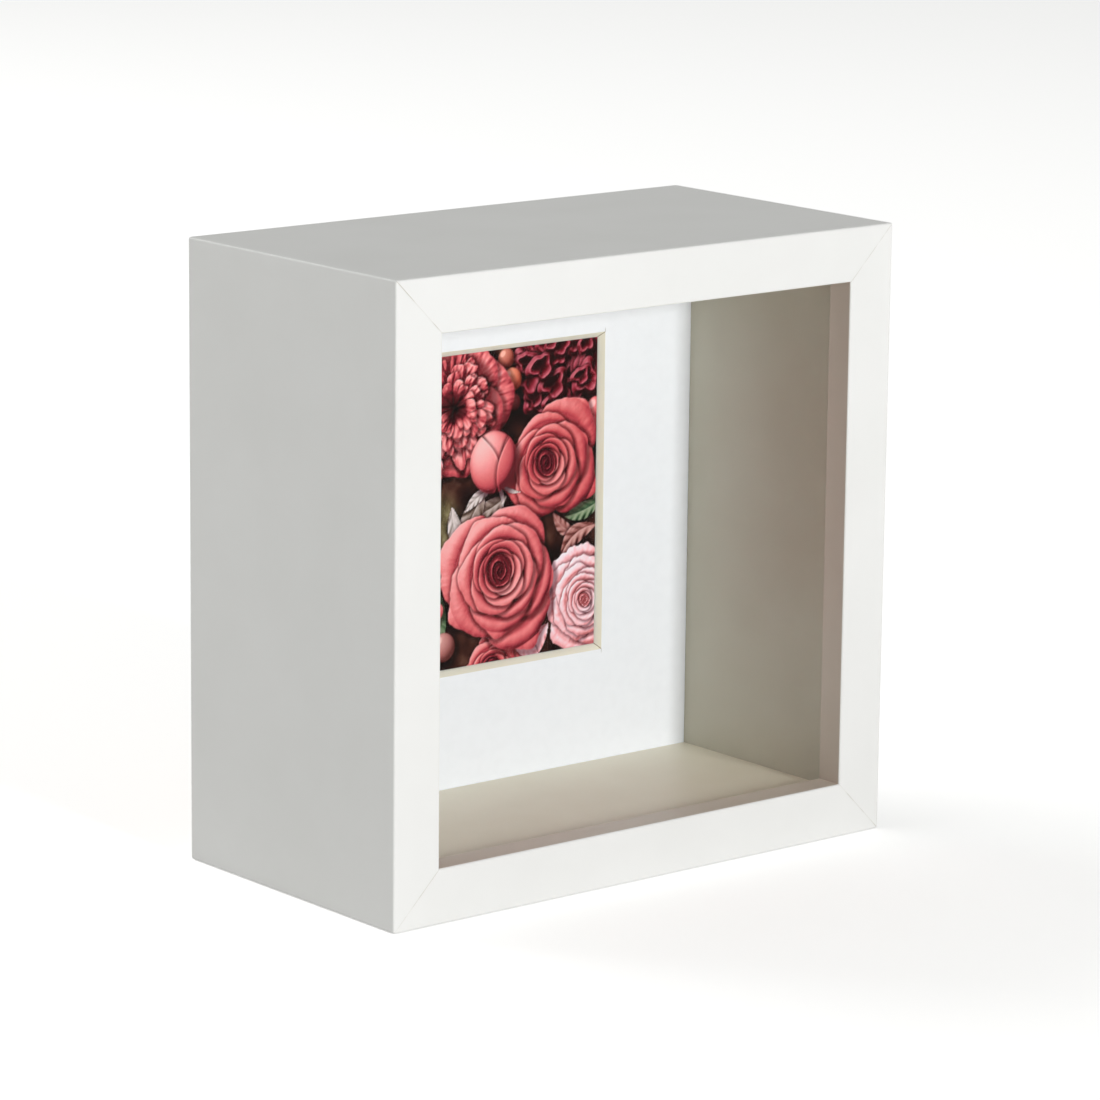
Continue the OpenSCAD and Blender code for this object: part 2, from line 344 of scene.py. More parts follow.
def satin_enamel(name, across):
    """Satin enamel, IOR 1.5, over sanded wood. The grain telegraphs through as long faint ridges, and the
    spray leaves an orange peel of about 1.5 mm. across is how much finer the ridges are across the length.
    Beige filler shows in broken lines at the mitres, and the inner face of the lip is tinted a darker warm
    white: painted shade."""
    made, tree, place = new_material(name)
    grain = patches(tree, stretched(tree, place, across), 1.0, 4.0, Roughness=0.6)
    peel = patches(tree, place, 650.0, 2.0)
    thin = carry(tree, patches(tree, place, 22.0, 3.0), 0.35, 0.7, 0.0, 0.35)
    white = blend(tree, thin, "#F2F2F0", "#E9E9E6")
    broken = carry(tree, patches(tree, place, 170.0, 2.0), 0.4, 0.6, 0.25, 1.0)
    line = maths(tree, "MULTIPLY", attribute(tree, "mitre")["Fac"], broken)
    filled = blend(tree, line, white, "#C4BFB2")
    # Painted shade: the inner face of the lip is darkened to a warm grey-white
    edge_shaded_white = blend(tree, attribute(tree, "sight_edge")["Fac"], filled, "#CFC3B5")
    height = maths(tree, "MULTIPLY_ADD", grain, 0.6, peel)
    gloss = carry(tree, grain, 0.3, 0.7, 0.36, 0.46)
    surface(tree, {"Base Color": edge_shaded_white, "Roughness": gloss, "IOR": 1.5}, height, 0.22, 0.06 * MM)
    return made


def rail_rings(side):
    """The moulding's section carried along one side, as rings, with the mitre value of each vertex.
    A ring lies a distance d short of the mitre plane: x = size/2 - h - d, with h the height in from the
    outside. Near the end the outside face drops by r(1 - cos f), where r(cos f - sin f) = d, which rounds
    the box's outer corners, and the last ring shrinks inwards to leave the hairline."""
    outline = rounded_outline(
        [(FRONT, 0), (REAR, 0), (REAR, WALL), (FRONT + LIP_THICKNESS, WALL),
         (FRONT + LIP_THICKNESS, LIP_WIDTH), (FRONT, LIP_WIDTH)],
        CORNER_RADII,
    )
    tangent = np.roll(outline, -1, axis=0) - np.roll(outline, 1, axis=0)
    inward = np.stack([-tangent[:, 1], tangent[:, 0]], axis=1)
    inward /= np.linalg.norm(inward, axis=1, keepdims=True)
    short = np.array([HAIRLINE_GAP, HAIRLINE_HALF, 0.38 * MM, 0.62 * MM, CORNER_ROUND, 3 * MM])
    angle = np.arccos(np.clip(short / (CORNER_ROUND * sqrt(2)), 0, cos(pi / 4))) - pi / 4
    drop = CORNER_ROUND * (1 - np.cos(angle))
    shrink = np.where(short == HAIRLINE_GAP, HAIRLINE_DEPTH, 0.0)
    outer = np.clip(1 - outline[:, 1] / ARRIS, 0, 1)
    face = (outline[:, 0] < FRONT + 0.3 * ARRIS).astype(float)
    points = outline[None] + inward[None] * (shrink[:, None] * face)[..., None]
    y = points[..., 0]
    height = points[..., 1] + drop[:, None] * outer[None]
    x = SIZE / 2 - height - short[:, None]
    right_end = np.stack([x, y, height], axis=-1)
    left_end = right_end * (-1, 1, 1)
    rings = np.concatenate([left_end, right_end[::-1]])
    strength = np.array([1.0, 0.25, 0, 0, 0, 0])
    left_name, right_name = RAIL_CORNERS[side]
    shown = np.concatenate([strength * HAIRLINES[left_name], (strength * HAIRLINES[right_name])[::-1]])
    # The inner face of the lip, behind the front arris, which takes the painted shade
    sight = (outline[:, 1] > LIP_WIDTH - 0.3 * MM) & (outline[:, 0] > FRONT + 0.9 * ARRIS)
    values = {"mitre": np.outer(shown, face), "sight_edge": np.tile(sight, len(rings))}
    return turned(rings, TURNS[side]), values


# Grain runs along each length: few ridges a metre along it, and one every 1.5 mm or so across it
LEVEL_SIDES = ("top", "bottom")
level_enamel = satin_enamel("satin_enamel_level", (14, 700, 700))
upright_enamel = satin_enamel("satin_enamel_upright", (700, 700, 14))
for side in TURNS:
    rings, values = rail_rings(side)
    enamel = level_enamel if side in LEVEL_SIDES else upright_enamel
    make_piece(
        f"{side}_moulding", skin(rings), "frame", [enamel], [f"{side}_rail"], values=values,
    )

# ----------------------------------------------------------
# Glass: a 2 mm pane with an anti-reflection coating, held between the lip and the liners.
# It is all but invisible from the front, with a trace of green and a faint sheen.
# ----------------------------------------------------------
COATED_GLASS_SHEEN = 1.07


def coated_glass():
    """Clear float glass with an anti-reflection coat: it mirrors as a surface of IOR 1.07 would, and passes
    the rest straight through with a slight green tint, because a thin flat pane bends nothing."""
    made, tree, _ = new_material("coated_glass")
    through = add_node(tree, "ShaderNodeBsdfTransparent", {"Color": linear("#FEFFFE")}).outputs[0]
    mirror = add_node(tree, "ShaderNodeBsdfGlossy", {"Color": (1, 1, 1, 1), "Roughness": 0.02}).outputs[0]
    share = add_node(tree, "ShaderNodeFresnel", {"IOR": COATED_GLASS_SHEEN}).outputs[0]
    mix_shaders(tree, share, through, mirror)
    return made


def finish_node(node, material):
    """Gives a CAD node that is shown as it is its material."""
    shown = frame["nodes"][node]
    if not shown.material_slots:
        shown.data.materials.append(material)
    for slot in shown.material_slots:
        slot.material = material


finish_node("glass_pane", coated_glass())

# ----------------------------------------------------------
# Liners: four strips of painted fibreboard, butted at the corners and glued inside the rebate.
# They keep the glass forward and the mat back. The top and bottom strips carry a lighter copy of one warm
# white, which is painted light, and the sides a darker copy, which is painted shade.
# ----------------------------------------------------------


def eggshell_paint(name, base, low, along):
    """Eggshell emulsion on fibreboard, IOR 1.5: brushed on, so it keeps fine marks along the strip, which
    runs the way in which along is smallest. base and low are its tones where it is full and thin."""
    made, tree, place = new_material(name)
    brush = patches(tree, stretched(tree, place, along), 1.0, 3.0, Roughness=0.55)
    colour = blend(tree, carry(tree, patches(tree, place, 35.0, 2.0), 0.3, 0.7), base, low)
    surface(tree, {"Base Color": colour, "Roughness": 0.42, "IOR": 1.5}, brush, 0.25, 0.05 * MM)
    return made


# Lit and shaded copies of one paint: painted light on the top and bottom strips, painted shade on the side
# strips
lit_level_paint = eggshell_paint("eggshell_paint_level", "#F5EFDD", "#F1EAD7", (25, 900, 900))
shaded_upright_paint = eggshell_paint("eggshell_paint_upright", "#CFCCBD", "#CAC6B6", (900, 900, 25))
for side in TURNS:
    finish_node(f"{side}_liner", lit_level_paint if side in LEVEL_SIDES else shaded_upright_paint)

# ----------------------------------------------------------
# Window mat: 2 mm conservation board with a white paper face and a cream core.
# The window is cut at 45 degrees, which lays the core open all round, and the knife leaves small overcuts.
# ----------------------------------------------------------
MAT_LOW, MAT_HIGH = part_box("window_mat")
MAT_THICKNESS = MAT_HIGH.y - MAT_LOW.y
PANE_HALF = (MAT_HIGH.x - MAT_LOW.x) / 2
WINDOW_HALF_WIDTH = 55.5 * MM
WINDOW_HALF_HEIGHT = 61.2 * MM
WINDOW_Z = MIDDLE_Z + 6.5 * MM
OVERCUT = 0.9 * MM
OVERCUT_HALF = 0.08 * MM
CORNER_HAIRLINE = 0.12 * MM


def window_distance(tree, place):
    """|x| and |z| measured outwards from the window's edges, in metres."""
    parts = add_node(tree, "ShaderNodeSeparateXYZ", {0: place}).outputs
    aside = maths(tree, "ABSOLUTE", parts["X"])
    above = maths(tree, "ABSOLUTE", maths(tree, "SUBTRACT", parts["Z"], WINDOW_Z))
    out_x = maths(tree, "SUBTRACT", aside, WINDOW_HALF_WIDTH)
    return out_x, maths(tree, "SUBTRACT", above, WINDOW_HALF_HEIGHT)


def band(tree, value, width):
    """1 where value is within width of 0, fading to 0 at twice that width."""
    return carry(tree, maths(tree, "ABSOLUTE", value), width, 2 * width, 1.0, 0.0)


def mat_face_paper():
    """Cotton surface paper, matt, IOR 1.45: a cool white with a soft felt texture of about half a
    millimetre. The overcuts are fine grey lines that run on upwards and downwards from the window's sides."""
    made, tree, place = new_material("cotton_mat_face")
    felt = patches(tree, place, 1500.0, 5.0, Roughness=0.65)
    cloud = patches(tree, place, 260.0, 4.0)
    paper = blend(tree, carry(tree, cloud, 0.4, 0.7), "#F5F6FE", "#F3F4FC")
    out_x, out_z = window_distance(tree, place)
    line = maths(tree, "MULTIPLY", band(tree, out_x, OVERCUT_HALF), band(tree, out_z, OVERCUT))
    cut = maths(tree, "MULTIPLY", line, maths(tree, "GREATER_THAN", out_z, 0.0))
    height = maths(tree, "MULTIPLY_ADD", cloud, 0.8, felt)
    colour = blend(tree, cut, paper, "#B9B7B6")
    surface(tree, {"Base Color": colour, "Roughness": 0.85, "IOR": 1.45}, height, 0.14, 0.06 * MM)
    return made


def mat_core_board():
    """Cut cream core: knife-smooth across, with the board's plies just visible as fine lines along the cut,
    and a dark brown hairline up each corner where two cuts meet, partly the cut and partly painted shade in
    that crease. Light sinks about a millimetre into it."""
    made, tree, place = new_material("cream_mat_core")
    plies = patches(tree, stretched(tree, place, (60, 4000, 60)), 1.0, 2.0)
    core = blend(tree, plies, "#F7F2E6", "#EDE7D8")
    # Dark hairline up each corner of the window: the cut, darkened with painted shade for the crease
    corner = band(tree, maths(tree, "SUBTRACT", *window_distance(tree, place)), CORNER_HAIRLINE)
    surface(tree, {
        "Base Color": blend(tree, corner, core, "#94805C"), "Roughness": 0.8, "IOR": 1.45,
        "Subsurface Weight": 0.7, "Subsurface Radius": (1.0, 0.95, 0.85), "Subsurface Scale": 1.2 * MM,
    }, plies, 0.25, 0.03 * MM)
    return made


# Half width, half height, middle height and depth of the board's outside and window, front and rear
MAT_EDGES = (
    (PANE_HALF, PANE_HALF, MIDDLE_Z, MAT_LOW.y),
    (WINDOW_HALF_WIDTH, WINDOW_HALF_HEIGHT, WINDOW_Z, MAT_LOW.y),
    (WINDOW_HALF_WIDTH - MAT_THICKNESS, WINDOW_HALF_HEIGHT - MAT_THICKNESS, WINDOW_Z, MAT_HIGH.y),
    (PANE_HALF, PANE_HALF, MIDDLE_Z, MAT_HIGH.y),
)
mat_rings = np.array([
    [(i * wide, depth, middle + j * high) for i, j in ((-1, -1), (1, -1), (1, 1), (-1, 1))]
    for wide, high, middle, depth in MAT_EDGES
])
mat = make_piece(
    "bevelled_mat", skin(mat_rings, looped=True), "back", [mat_face_paper(), mat_core_board()],
    ["window_mat"], smooth_angle=20,
)
FACES_OF_A_RING = 4
mat_slots = np.repeat([0, 1, 0, 1], FACES_OF_A_RING)
mat.data.polygons.foreach_set("material_index", mat_slots.astype(np.int32))

# ----------------------------------------------------------
# Print: a generic arrangement of roses on heavy matt paper, hinged behind the window.
# The picture is painted here by formula, flower by flower from the back to the front, on a fine grid.
# ----------------------------------------------------------
PRINT_LOW, PRINT_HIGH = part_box("art_print")
PRINT_CELL = 0.37
SIGHT_HALF_WIDTH = 54.3
SIGHT_HALF_HEIGHT = 60.0


def ease(low, high, value):
    """0 up to low, 1 from high on, and the smooth cubic between them. low may be above high."""
    t = np.clip((value - low) / (high - low), 0, 1)
    return t * t * (3 - 2 * t)


def noise(x, y, seed, octaves=4):
    """Smooth random values from 0 to 1: a lattice of random numbers a unit apart, blended by the smooth
    cubic, plus octaves of half the size and half the strength."""
    grid = np.random.default_rng(seed).random((64, 64))
    total, weight = 0.0, 0.0
    for octave in range(octaves):
        u = x * 2 ** octave + 17.3 * octave
        v = y * 2 ** octave + 31.7 * octave
        i, j = np.floor(u).astype(int), np.floor(v).astype(int)
        s, t = ease(0, 1, u - i), ease(0, 1, v - j)
        low = grid[i % 64, j % 64] * (1 - s) + grid[(i + 1) % 64, j % 64] * s
        high = grid[i % 64, (j + 1) % 64] * (1 - s) + grid[(i + 1) % 64, (j + 1) % 64] * s
        total = total + (low * (1 - t) + high * t) / 2 ** octave
        weight += 1 / 2 ** octave
    return total / weight


GOLDEN_ANGLE = 2.39996
SUN = np.array([-0.45, 0.50, 0.74])
SHADOW_ANGLE = np.arctan2(-SUN[1], -SUN[0])


def relief(height, x, z):
    """How brightly a height field is lit: n . s, with n the unit normal (-dh/dx, -dh/dz, 1) and s the sun."""
    up, right = np.gradient(height, z[:, 0], x[0])
    return np.clip((SUN[2] - right * SUN[0] - up * SUN[1]) / np.sqrt(1 + right ** 2 + up ** 2), 0, 1)


def ramp(value, stops):
    """The colour for a value from 0 to 1, straight between evenly spaced hex stops."""
    table = np.array([rgb(stop) for stop in stops])
    at = np.linspace(0, 1, len(stops))
    value = np.clip(value, 0, 1)
    return np.stack([np.interp(value, at, table[:, c]) for c in range(3)], axis=-1)


def lay(picture, colour, cover):
    """Paints colour over the picture where cover is 1, and mixes it in where cover is between 0 and 1."""
    picture += (colour - picture) * cover[..., None]


def shade(picture, mask, strength):
    """Darkens the picture where mask is 1. Red falls least, as in the shade between petals."""
    picture *= 1 - strength * mask[..., None] * (0.84, 1.0, 0.95)


def window(picture, x, z, place, reach):
    """The part of the picture within reach of a place: (picture, x from the place, z from the place). It is
    empty, or only a row or two, for a place beyond the picture's edge."""
    columns = slice(*np.searchsorted(x[0], (place[0] - reach, place[0] + reach)))
    rows = slice(*np.searchsorted(z[:, 0], (place[1] - reach, place[1] + reach)))
    return picture[rows, columns], x[rows, columns] - place[0], z[rows, columns] - place[1]


CORAL = ["#2A0A10", "#5E1D26", "#8E373F", "#B9555A", "#CC6A6B", "#DC8280", "#EDA5A0", "#F6C4BC"]
ROSE_RED = ["#27080F", "#551A24", "#823038", "#AC474E", "#C25B5D", "#D27472", "#E3938E", "#F0B5AE"]
BLUSH = ["#7E3F40", "#B06364", "#CF8886", "#E3A7A6", "#EDBDBC", "#F4D0CF", "#F9E2E0", "#FDF3F1"]
DUSK = ["#170408", "#31090F", "#53141C", "#762630", "#933B47", "#AB525D", "#C2737B", "#D8989C"]


def petal(picture, x, z, r, angle, middle, spread, radius, inner, form, seed, stops):
    """One petal, seen from above, about a heart at r = 0. With d = angle from its middle / spread, its edge
    is at radius (1 - |d|^3)^0.42, drawn out to a point in the middle and rippled. It rises out of the
    flower with a slope that runs from cup at the inner radius to flare at its edge, rolls over at the rim,
    and is lit as that surface. It is darkest where it comes out from under the next petals. form holds
    cup, flare, roll, point, frill, fold and dark."""
    cup, flare, roll, point, frill, fold, dark = form
    away = (angle - middle + pi) % (2 * pi) - pi
    d = np.abs(away) / spread
    wave = noise(away * radius * 0.22 + 5 * seed, 0 * away + seed, int(13 * seed) % 83, 3) - 0.5
    rim = radius * (np.clip(1 - d ** 3, 0, 1) ** 0.42 + point * np.exp(-(d / 0.17) ** 2) + frill * wave)
    inside = rim - r
    shown = radius - inner
    t = (r - inner) / shown
    low = np.clip(t, 0, 1.2)
    height = shown * (cup * low + (flare - cup) * low ** 2 / 2)
    lip = 0.045 * radius + 0.35
    height = height - roll * lip * np.exp(-np.clip(inside, 0, None) / lip)
    height = height - 0.16 * radius * d ** 2
    wrinkle = noise(away * radius * 0.28 + 3 * seed, t * 0.9 + seed, int(11 * seed) % 89, 3) - 0.5
    height = height + fold * shown * wrinkle
    lit = relief(height, x, z)
    tone = 0.12 + 0.80 * lit
    tone = tone * (1 - dark * np.exp(-np.clip(t, 0, None) / 0.2))
    tone = tone + 0.07 * np.exp(-((inside - 0.3) / 0.3) ** 2) + 0.03 * wrinkle
    spread_shadow = inside + (0.5 + 0.045 * radius) * (0.35 + 0.65 * np.cos(angle - SHADOW_ANGLE))
    shade(picture, ease(-0.8 - 0.04 * radius, 0.4, spread_shadow), 0.46)
    lay(picture, ramp(tone, stops), ease(-0.15, 0.3, inside))


def rose(picture, x, z, place, size, lean, seed, stops, petals=20, heart=0.2, point=0.17, frill=0.07,
         fold=0.10, shift=(0, 0), flat=0.0):
    """A rose: petals from the outside in, each the golden angle on from the last, with edges that close in
    as 1 - (1 - heart) share^0.8, about a middle that moves to the heart. The outer ones flare and roll
    back, and the inner ones stand up. The heart is one petal rolled up: its rim follows a spiral."""
    picture, x, z = window(picture, x, z, place, 1.3 * max(size))
    swing = radians(lean)
    u = (x * cos(swing) + z * sin(swing)) / size[0]
    v = (-x * sin(swing) + z * cos(swing)) / size[1]
    scale = sum(size) / 2
    for index in range(petals):
        share = index / (petals - 1)
        outer = 1 - (1 - heart) * share ** 0.8
        inner = 1 - (1 - heart) * min(share + 3.2 / (petals - 1), 1) ** 0.8
        du, dv = u - shift[0] * share, v - shift[1] * share
        r = np.hypot(du, dv) * scale + 1e-6
        angle = np.arctan2(dv, du)
        stand = ease(0.15, 0.95, share)
        form = (
            0.55 + 1.1 * stand, -0.75 + 1.25 * stand - flat, 0.75 - 0.35 * stand,
            point * (1 - stand) * (0.3 + 0.7 * sin(5 * index + seed) ** 2), frill, fold * (1 - 0.5 * stand),
            0.36 + 0.38 * stand,
        )
        spread = radians(62 + 55 * share)
        wobble = 1 + 0.05 * sin(3.7 * index + seed) * (1 - share)
        petal(picture, x, z, r, angle, seed + GOLDEN_ANGLE * index, spread, outer * scale * wobble,
              inner * scale * 0.98, form, seed + 1.3 * index, stops)
    du, dv = (u - shift[0]) * 1.15, (v - shift[1]) * 0.9
    r = np.hypot(du, dv)
    cup = heart * 0.95
    warp = 0.5 * (noise(du * 9 + seed, dv * 9, 51, 2) - 0.5)
    rolled = (r / cup * 2.1 - np.arctan2(dv, du) / (2 * pi) + warp) % 1.0
    crest = np.exp(-((rolled - 0.2) / 0.17) ** 2)
    lit = relief(scale * (0.10 * crest + 0.35 * r), x, z)
    tone = (0.04 + 0.72 * lit) * (0.30 + 0.70 * crest) * (0.40 + 0.60 * ease(0, cup, r))
    shade(picture, ease(cup * 1.35, cup, r), 0.6)
    lay(picture, ramp(tone, stops), ease(cup * 1.1, cup * 0.95, r))


def garden_rose(picture, x, z, place, radius, seed, stops):
    """A garden rose: smooth guard petals round a cup of many narrow crumpled ones, which stand in bundles
    about a dark heart. Each narrow petal is the same petal with a small spread and deep folds."""
    picture, x, z = window(picture, x, z, place, 1.3 * radius)
    random = np.random.default_rng(seed)
    r, angle = np.hypot(x, z) + 1e-6, np.arctan2(z, x)
    guard = (0.5, -0.45, 0.8, 0.04, 0.08, 0.30, 0.45)
    crumpled = (0.9, 0.35, 0.9, 0.0, 0.25, 1.0, 0.66)
    for index in range(9):
        petal(picture, x, z, r, angle, seed + GOLDEN_ANGLE * index, 1.05, radius * (1 - 0.028 * index),
              radius * 0.62, guard, seed + index, stops)
    shade(picture, ease(0.80 * radius, 0.68 * radius, r), 0.45)
    for index in range(90):
        share = index / 89
        far = radius * (0.80 - 0.50 * share) * (1 + 0.10 * random.normal())
        petal(picture, x, z, r, angle, random.uniform(0, 2 * pi), random.uniform(0.2, 0.42), far,
              far * 0.55, crumpled, random.uniform(0, 9), stops)
    shade(picture, ease(0.27 * radius, 0.05 * radius, r), 0.7)


def cockscomb(picture, x, z, place, reach, count, seed, stops):
    """A velvety cockscomb: loops of a pleated ribbon, back to front. Each loop is a round patch that dips to
    a dark pit and swells to a fat rim, r = size (1 + 0.16 sin 3a + 0.1 sin 5a) bounding it."""
    random = np.random.default_rng(seed)
    for index in range(count):
        turn, far = random.uniform(0, 2 * pi), random.random() ** 0.5
        size = random.uniform(4.2, 7.2)
        spot = (place[0] + reach[0] * far * cos(turn), place[1] + reach[1] * far * sin(turn))
        patch, dx, dz = window(picture, x, z, spot, 1.6 * size)
        if min(dx.shape) < 3:
            continue
        r, angle = np.hypot(dx, dz * random.uniform(0.8, 1.3)) + 1e-6, np.arctan2(dz, dx)
        start = random.uniform(0, 2 * pi)
        rim = size * (1 + 0.16 * np.sin(3 * angle + start) + 0.10 * np.sin(5 * angle + 2 * start))
        t = r / rim
        height = size * (0.9 * ease(0.1, 0.72, t) - 0.85 * ease(0.72, 1.02, t))
        height = height + 0.25 * size * (noise(angle * 2.6 + start, t * 2, seed + index, 2) - 0.5)
        lit = relief(height, dx, dz)
        tone = (0.08 + 0.85 * lit) * (0.22 + 0.78 * ease(0.15, 0.75, t))
        shade(patch, ease(1.3, 0.95, t), 0.6)
        lay(patch, ramp(tone, stops), ease(1.05, 0.96, t))


def ball(picture, x, z, place, radius, stops):
    """A berry: a sphere lit by the sun, with a small highlight and a soft shadow under it."""
    picture, dx, dz = window(picture, x, z, place, 2 * radius)
    if min(dx.shape) < 3:
        return
    r = np.hypot(dx, dz) / radius
    shade(picture, ease(1.4, 0.9, np.hypot(dx - 0.2 * radius, dz + 0.25 * radius) / radius), 0.6)
    rise = np.sqrt(np.clip(1 - r * r, 0, 1))
    lit = np.clip(dx / radius * SUN[0] + dz / radius * SUN[1] + rise * SUN[2], 0, 1)
    tone = 0.12 + 0.68 * lit + 0.35 * ease(0.90, 0.99, lit)
    lay(picture, ramp(tone, stops), ease(1.04, 0.94, r))


def leaf(picture, x, z, place, length, width, lean, stops, bend=0.0):
    """A leaf: a lens, |v| < width (1 - u^2), bent by v += bend u^2, folded along its midrib and ribbed by
    side veins, and lit as that surface."""
    picture, x, z = window(picture, x, z, place, 1.3 * max(length, width))
    if min(x.shape) < 3:
        return
    swing = radians(lean)
    u = (x * cos(swing) + z * sin(swing)) / length
    v = (-x * sin(swing) + z * cos(swing)) / width + bend * (u * u - 0.3)
    shape = np.where(np.abs(u) < 1, np.abs(v) / np.clip(1 - u * u, 1e-3, 1), 9.0)
    height = width * (0.55 * np.abs(v) - 0.5 * v * v)
    height = height + 0.05 * length * np.sin(16 * u + 6 * np.abs(v)) * np.abs(v)
    height = height + 0.12 * width * (noise(u * 3 + length, v * 2, 8, 3) - 0.5)
    lit = relief(height, x, z)
    tone = 0.05 + 0.85 * lit + 0.16 * ease(0.10, 0.03, np.abs(v)) + 0.12 * ease(0.86, 0.97, shape)
    shade(picture, ease(1.5, 0.95, shape), 0.55)
    lay(picture, ramp(tone, stops), ease(1.03, 0.95, shape))


def bud(picture, x, z, place, size, seed, stops):
    """A bud: a ball clasped by four petals whose edges run up over it to one side of its tip."""
    picture, x, z = window(picture, x, z, place, 1.4 * max(size))
    u, v = x / size[0], z / size[1]
    r = np.hypot(u, v)
    shade(picture, ease(1.3, 0.92, np.hypot(u - 0.12, v + 0.12)), 0.65)
    dome = np.sqrt(np.clip(1 - np.minimum(r, 0.995) ** 2, 0.01, 1)) * size[0] * 0.8
    inside = ease(1.03, 0.96, r)
    base = 0.05 + 0.80 * relief(dome + 0.5 * (noise(u * 3, v * 1.2, seed, 3) - 0.5), x, z)
    lay(picture, ramp(base, stops), inside)
    for offset, bend, tilt in (
        (-0.9, 0.9, 0.25), (0.95, -0.85, -0.1), (-0.25, 0.75, -0.5), (0.55, -0.5, 0.45),
    ):
        edge = (u - offset - tilt * v) * np.sign(bend) - (abs(bend) * (0.62 - 0.75 * (v - 0.1) ** 2))
        lap = dome + 0.9 * ease(0.25, -0.02, edge)
        tone = 0.05 + 0.80 * relief(lap, x, z) + 0.10 * np.exp(-((edge + 0.03) / 0.035) ** 2)
        shade(picture, ease(0.2, 0.0, edge) * (edge > -0.02) * inside, 0.45)
        lay(picture, ramp(tone, stops), ease(0.03, -0.01, edge) * inside)


PRINT_CONTRAST = 1.1
PRINT_SATURATION = 1.08
PRINT_BLACK = 0.034
PRINT_TINT = (1.0, 0.965, 1.02)


def paint_flowers(x, z):
    """The whole picture as sRGB values. x and z are millimetres right of the middle and above the base.
    Last comes the printer's profile: with g the grey of a colour v, v becomes
    tint (contrast (g + saturation (v - g)) - black)."""
    murk = noise(x / 9, z / 9, 3, 5)
    picture = ramp(1.5 * murk - 0.42, ["#150606", "#241010", "#3A2019", "#5A4034", "#7D6A55"])
    moss = ["#2A2A18", "#4A4530", "#6A6246", "#86805E", "#A6A07E"]
    lay(picture, ramp(noise(x / 2.4, z / 3.4, 12, 4), moss), ease(16, 7, np.hypot((x + 24) / 1.1, z - 117)))
    green = ["#0E130C", "#1E2C1C", "#37503A", "#56704F", "#7F9272", "#B2BAA0"]
    dusty = ["#1C1411", "#3A2D26", "#5C4C42", "#7E6E62", "#A3968A", "#CFC6BC"]
    pale = ["#4E443C", "#7A7068", "#A0978D", "#BDB5AC", "#D6D0C8", "#ECE8E2"]
    dry = ["#1E0C0C", "#40201F", "#6B3F3A", "#97665E", "#B98E84", "#D9B8AC"]
    for place, length, width, lean, bend in (
        ((54, 124), 10, 4.4, 75, 0.3), ((47.5, 115), 9, 3.4, 15, -0.3), ((-52, 110), 12, 4.6, 75, 0.3),
        ((-30, 152), 11, 4.2, 35, 0.2), ((-36, 106), 13, 5.0, 20, 0.4), ((-22, 84), 10, 4.0, 100, 0.3),
    ):
        leaf(picture, x, z, place, length, width, lean, green, bend)
    cockscomb(picture, x, z, (38, 172), (22, 15), 46, 21, DUSK)
    cockscomb(picture, x, z, (-50, 172), (14, 14), 26, 61, DUSK)
    ball(picture, x, z, (9.5, 177), 3.8, ["#3A1714", "#7C3C33", "#AD6455", "#C98672", "#E9B7A2"])
    ball(picture, x, z, (12.2, 168.6), 4.6, ["#5A231A", "#A85542", "#CC7C62", "#DE9C7E", "#F6CDB4"])
    ball(picture, x, z, (13.0, 160.0), 3.4, ["#2A0E10", "#5B2426", "#7F3B3B", "#A05A57", "#C58A84"])
    garden_rose(picture, x, z, (-15, 161), 28, 4, CORAL)
    ball(picture, x, z, (53.4, 152.8), 5.4, CORAL)
    ball(picture, x, z, (51.6, 145.6), 5.4, CORAL)
    rose(picture, x, z, (-41, 136), (21, 20), -15, 4.4, BLUSH, petals=18, frill=0.12)
    leaf(picture, x, z, (38.5, 109.5), 8.5, 2.6, -38, dry, -0.8)
    leaf(picture, x, z, (44, 105), 10.5, 3.8, 32, dry, 0.9)
    rose(picture, x, z, (48.5, 80), (23, 24), 35, 5.2, BLUSH, petals=26, heart=0.12, point=0.0, frill=0.2,
         fold=0.45, flat=0.4)
    leaf(picture, x, z, (2, 121), 9, 3.6, 20, dusty, -0.3)
    leaf(picture, x, z, (-6.5, 117.5), 12, 4.6, 62, dusty, 0.3)
    leaf(picture, x, z, (-13.5, 114), 10, 3.4, 108, pale, 0.4)
    rose(picture, x, z, (31, 134.5), (25, 25), 15, 0.7, ROSE_RED, shift=(-0.06, 0.04))
    leaf(picture, x, z, (-3.5, 125.5), 7.5, 2.2, 30, pale, 0.6)
    leaf(picture, x, z, (7.5, 125.8), 5, 0.9, -70, pale, 1.2)
    leaf(picture, x, z, (12, 127), 5, 0.8, -25, pale, -1.4)
    bud(picture, x, z, (3.8, 138.5), (11, 11.8), 5, ["#3C1017", *CORAL[2:], "#FBD8D2"])
    rose(picture, x, z, (-42, 84), (20, 21), 50, 3.1, CORAL, petals=18)
    ball(picture, x, z, (-19.5, 71), 5.6, ["#3C1C1A", "#7C4B46", "#A9746E", "#C89A90", "#E6C4B8"])
    rose(picture, x, z, (4, 61), (17, 13), 10, 1.1, ROSE_RED, petals=14)
    leaf(picture, x, z, (26, 67), 8, 3.6, 60, BLUSH, 0.4)
    leaf(picture, x, z, (21, 64), 7, 3.2, 150, BLUSH, -0.4)
    rose(picture, x, z, (9.5, 94.5), (30, 30.5), 8, 2.6, CORAL, petals=22, shift=(-0.07, 0.08))
    grey = picture.mean(axis=-1, keepdims=True)
    vivid = PRINT_CONTRAST * (grey + PRINT_SATURATION * (picture - grey)) - PRINT_BLACK
    speck = noise(x * 1.6, z * 1.6, 77, 2) - 0.5
    return np.clip(PRINT_TINT * vivid * (1 + 0.05 * speck[..., None]), 0, 1)


